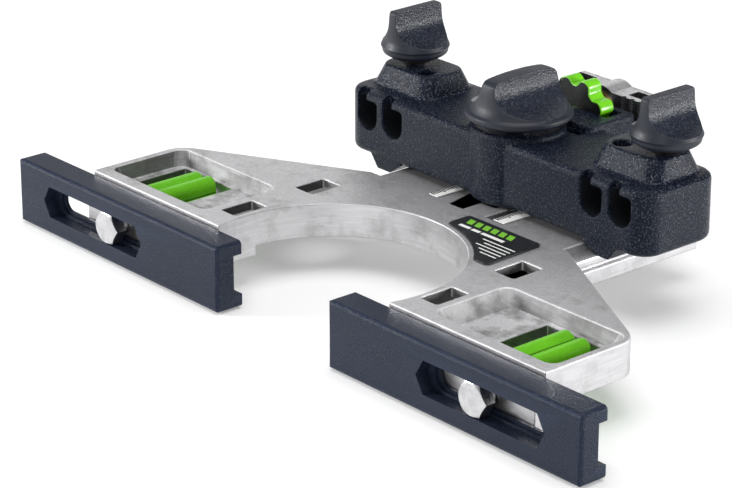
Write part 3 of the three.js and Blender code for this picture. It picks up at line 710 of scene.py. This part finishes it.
housing = remeshed(copy_of("housing", "housing_shell"), HOUSING["voxel"], on_boss)
change_material(shaded(housing, 60), in_rod_slot)
change_material(housing, on_boss_side, 2)
finish_piece(housing, "housing", [BODY_PLASTIC, PAINTED_SHADE_PLASTIC, BOSS_GLINT_PLASTIC],
             ["housing"])
grip_knob("lock_knob_grip", LOCK, lock_outlines(), (0, LOCK["y"]), "lock_knob", "lock_knob")
for side, sign in SIDES:
    grip_knob(f"wing_grip_{side}", WING, wing_outlines(), (sign * WING["x"], WING["y"]),
              f"{side}_wing_knob", f"wing_knob_{side}")

# ---------------------------------------------------------------- green nuts and thumbwheel

nut_shape = lobed_bar("nut_shape", NUT)
for side, sign in SIDES:
    nut = new_object(f"ribbed_nut_{side}", nut_shape.data.copy())
    if sign < 0:
        nut.data.transform(Matrix.Scale(-1, 4, (1, 0, 0)))
        nut.data.flip_normals()
    finish_piece(shaded(nut, 35), f"{side}_nut", [GREEN_PLASTIC], [f"shoe_nut_{side}"])
bpy.data.objects.remove(nut_shape)

wheel = shaded(lobed_bar("wheel_rim", WHEEL), 35)
change_material(wheel, lambda centre, normal: abs(normal.y) > 0.95)
finish_piece(wheel, "thumbwheel", [GREEN_PLASTIC, BLACK_PLASTIC], ["thumbwheel"])
thread_start = WHEEL["front"] + WHEEL["length"] + SPINDLE["plain"]
screw = threaded_rod("threaded_spindle", SPINDLE["radius"], SPINDLE["front"], thread_start,
                     SPINDLE["rear"], 0, SPINDLE["z"])
finish_piece(shaded(screw, 30), "thumbwheel", [ZINC], ["spindle"])

# ---------------------------------------------------------------- castings, shoes and bolts

casting = bevelled(copy_of("casting", "cast_bracket"), EDGES["casting"],
                   [CAST_METAL, WINDOW_SHADE_CAST, POCKET_CAST, EDGE_CAST], clamp=False)
change_material(casting, in_pocket, 2)
change_material(casting, in_window)
finish_piece(casting, "fence", (), ["casting"])
bracket = bevelled(copy_of("rear_bracket", "spindle_bracket"), EDGES["bracket"], [ROUGH_CAST, EDGE_CAST])
finish_piece(bracket, "fence", (), ["rear_bracket"])
for side, sign in SIDES:
    shoe = bevelled(copy_of(f"shoe_{side}", f"fence_shoe_{side}"), EDGES["shoe"], [SHOE_PLASTIC])
    finish_piece(shoe, f"{side}_shoe", (), [f"shoe_{side}"])
    bolt = hexagon_bolt(f"hexagon_bolt_{side}", sign * BOLT["x"])
    finish_piece(bolt, f"{side}_bolt", [ZINC], [f"shoe_bolt_{side}"])

# ---------------------------------------------------------------- marks on the label and the scales


def marks(name, bars, material, slot, surface, thickness=0.05):
    """Flat bars given as (x0, x1, y0, y1, slant), printed on a surface and joined into one piece."""
    low = surface + 0.02
    bm = bmesh.new()
    for x0, x1, y0, y1, slant in bars:
        corners = [(x0, y0), (x1, y0), (x1 + slant, y1), (x0 + slant, y1)]
        add_solid(bm, [(x, y, low) for x, y in corners], [(x, y, low + thickness) for x, y in corners])
    finish_piece(from_bmesh(name, bm), "fence", [material])


stripes = []
for i in range(STRIPES["count"]):
    left = STRIPES["left"] + STRIPES["pitch"] * i
    stripes.append((left, left + STRIPES["width"], STRIPES["front"], STRIPES["rear"], STRIPES["slant"]))
marks("label_stripes", stripes, GREEN_PRINT, "green_plastic", LABEL_TOP)

lines = [(x0, x1, WORD_BARS["front"], WORD_BARS["rear"], 0) for x0, x1 in WORD_BARS["spans"]]
for i, left in enumerate(THIN_LINES["lefts"]):
    y = THIN_LINES["first"] - THIN_LINES["pitch"] * i
    lines.append((left, THIN_LINES["right"], y - THIN_LINES["half"], y + THIN_LINES["half"], 0))
marks("label_lines", lines, WHITE_PRINT, "scale_white", LABEL_TOP)

ticks = []
for left in SCALE["lefts"]:
    for i in range(int(SCALE["rear"] - SCALE["front"])):
        length = TICK["long"] if i % 5 == 4 else TICK["short"]
        y = SCALE["front"] + SCALE["first"] + i
        ticks.append((left - 0.02, left + length, y - TICK["half"], y + TICK["half"], 0))
marks("scale_ticks", ticks, BLACK_PRINT, "label_black", SCALE["top"], 0.04)

# ---------------------------------------------------------------- carried-over CAD nodes

KEPT = {
    DARK_STEEL: ["lock_washer", "clamp_stud_left", "clamp_stud_right"],
    ZINC: ["lock_bolt", "clamp_plate", "bracket_screw_left", "bracket_screw_right",
           "nut_washer_left", "nut_washer_right", "nut_bush_left", "nut_bush_right"],
    BRASS: ["lock_knob_nut", "spindle_nut"],
    DARK_BRASS: ["thread_insert_left", "thread_insert_right"],
    WHITE_PRINT: ["scale_left", "scale_right"],
    LABEL_FILM: ["label_plate"],
}
for material, names in KEPT.items():
    for name in names:
        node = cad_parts[name]
        node.data.materials.clear()
        node.data.materials.append(material)

# ---------------------------------------------------------------- the studio


def plain(name, value, roughness, glow):
    """Matt floor paint with faint clouds, and a little light of its own to keep it white."""
    n = Nodes(name)
    tone = n.blend(n.ramp(n.noise(6.0), 0.3, 0.7), (value,) * 3, (value * 0.99,) * 3)
    n.set(Roughness=roughness, Metallic=0.0, Emission_Color=(1.0, 1.0, 1.0, 1.0), Emission_Strength=glow)
    return n.use(Base_Color=tone)


def area_light(name, place, size, power):
    light = bpy.data.lights.new(name, "AREA")
    light.shape = "DISK"
    light.size = size
    light.energy = power
    obj = bpy.data.objects.new(name, light)
    obj.location = place
    obj.rotation_euler = (LIGHTS_AIM - Vector(place)).to_track_quat("-Z", "Y").to_euler()
    bpy.context.scene.collection.objects.link(obj)


half = FLOOR["half"]
floor = prism("floor", [(-half, -half), (half, -half), (half, half), (-half, half)],
              FLOOR["low"], FLOOR["top"], "Z")
floor.data.materials.append(plain("floor_paint", 0.84, 0.9, 0.24))

world = bpy.data.worlds.new("studio")
world.use_nodes = True
background = world.node_tree.nodes["Background"]
background.inputs["Color"].default_value = (1.0, 1.0, 1.0, 1.0)
background.inputs["Strength"].default_value = SKY
bpy.context.scene.world = world
for light in LIGHTS:
    area_light(*light)

camera_data = bpy.data.cameras.new("camera")
camera_data.sensor_width = 36.0
camera_data.lens = CAMERA["lens"]
camera = bpy.data.objects.new("camera", camera_data)
azimuth, elevation = math.radians(CAMERA["azimuth"]), math.radians(CAMERA["elevation"])
camera.location = TO_FRAME @ Vector(CAMERA["place"])
look = Vector((-math.sin(azimuth) * math.cos(elevation), math.cos(azimuth) * math.cos(elevation),
               -math.sin(elevation)))
camera.rotation_euler = look.to_track_quat("-Z", "Y").to_euler()
bpy.context.scene.collection.objects.link(camera)
bpy.context.scene.camera = camera
bpy.context.scene.view_settings.view_transform = "Standard"
